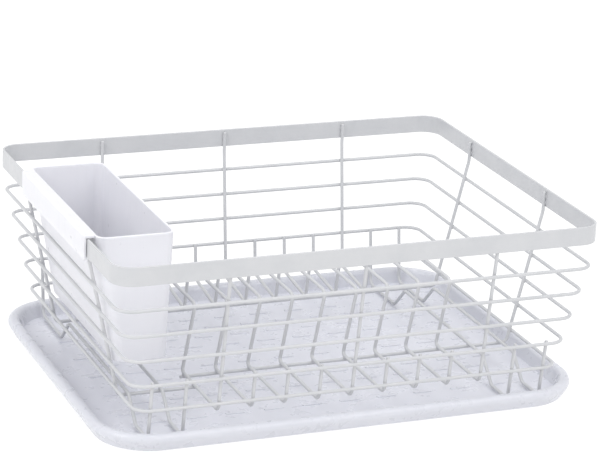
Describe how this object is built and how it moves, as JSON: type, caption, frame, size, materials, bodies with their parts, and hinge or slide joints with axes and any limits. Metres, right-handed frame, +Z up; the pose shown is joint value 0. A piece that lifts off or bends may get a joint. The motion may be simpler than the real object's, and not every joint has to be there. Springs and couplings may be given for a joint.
{
  "type": "dish drying rack",
  "caption": "Wire basket dish drying rack with arched plate dividers, a cutlery holder hung on the rim and a shallow drip tray underneath.",
  "frame": {"origin": "on the table under the middle of the drip tray", "axes": "+Z up, +X along the long side to the right, the long front side faces -Y"},
  "size_m": [0.4352, 0.34, 0.166],
  "materials": {
    "wire_coating": "white powder coat, satin",
    "tray_plastic": "moulded white plastic, soft gloss",
    "holder_plastic": "moulded white plastic, soft gloss"
  },
  "bodies": {
    "tray": {"drip_tray": "tray_plastic"},
    "basket": {"rim_band": "wire_coating", "ring_wire_1": "wire_coating", "ring_wire_2": "wire_coating", "ring_wire_3": "wire_coating", "ring_wire_4": "wire_coating", "ring_wire_5": "wire_coating", "hoop_wire_1": "wire_coating", "hoop_wire_2": "wire_coating", "hoop_wire_3": "wire_coating", "divider_wire_1": "wire_coating", "divider_wire_2": "wire_coating", "divider_wire_3": "wire_coating", "divider_wire_4": "wire_coating", "divider_wire_5": "wire_coating", "divider_wire_6": "wire_coating", "foot_wire_1": "wire_coating", "foot_wire_2": "wire_coating", "foot_wire_3": "wire_coating", "foot_wire_4": "wire_coating", "back_cross_wire": "wire_coating", "front_cross_wire": "wire_coating", "left_side_wire": "wire_coating"},
    "holder": {"cutlery_holder": "holder_plastic"}
  },
  "joints": [
    {"name": "basket_lift", "type": "slide", "parent": "tray", "child": "basket", "axis": [0, 0, 1], "range_m": [0, 0.06]},
    {"name": "holder_lift", "type": "slide", "parent": "basket", "child": "holder", "axis": [0, 0, 1], "range_m": [0, 0.125]}
  ]
}
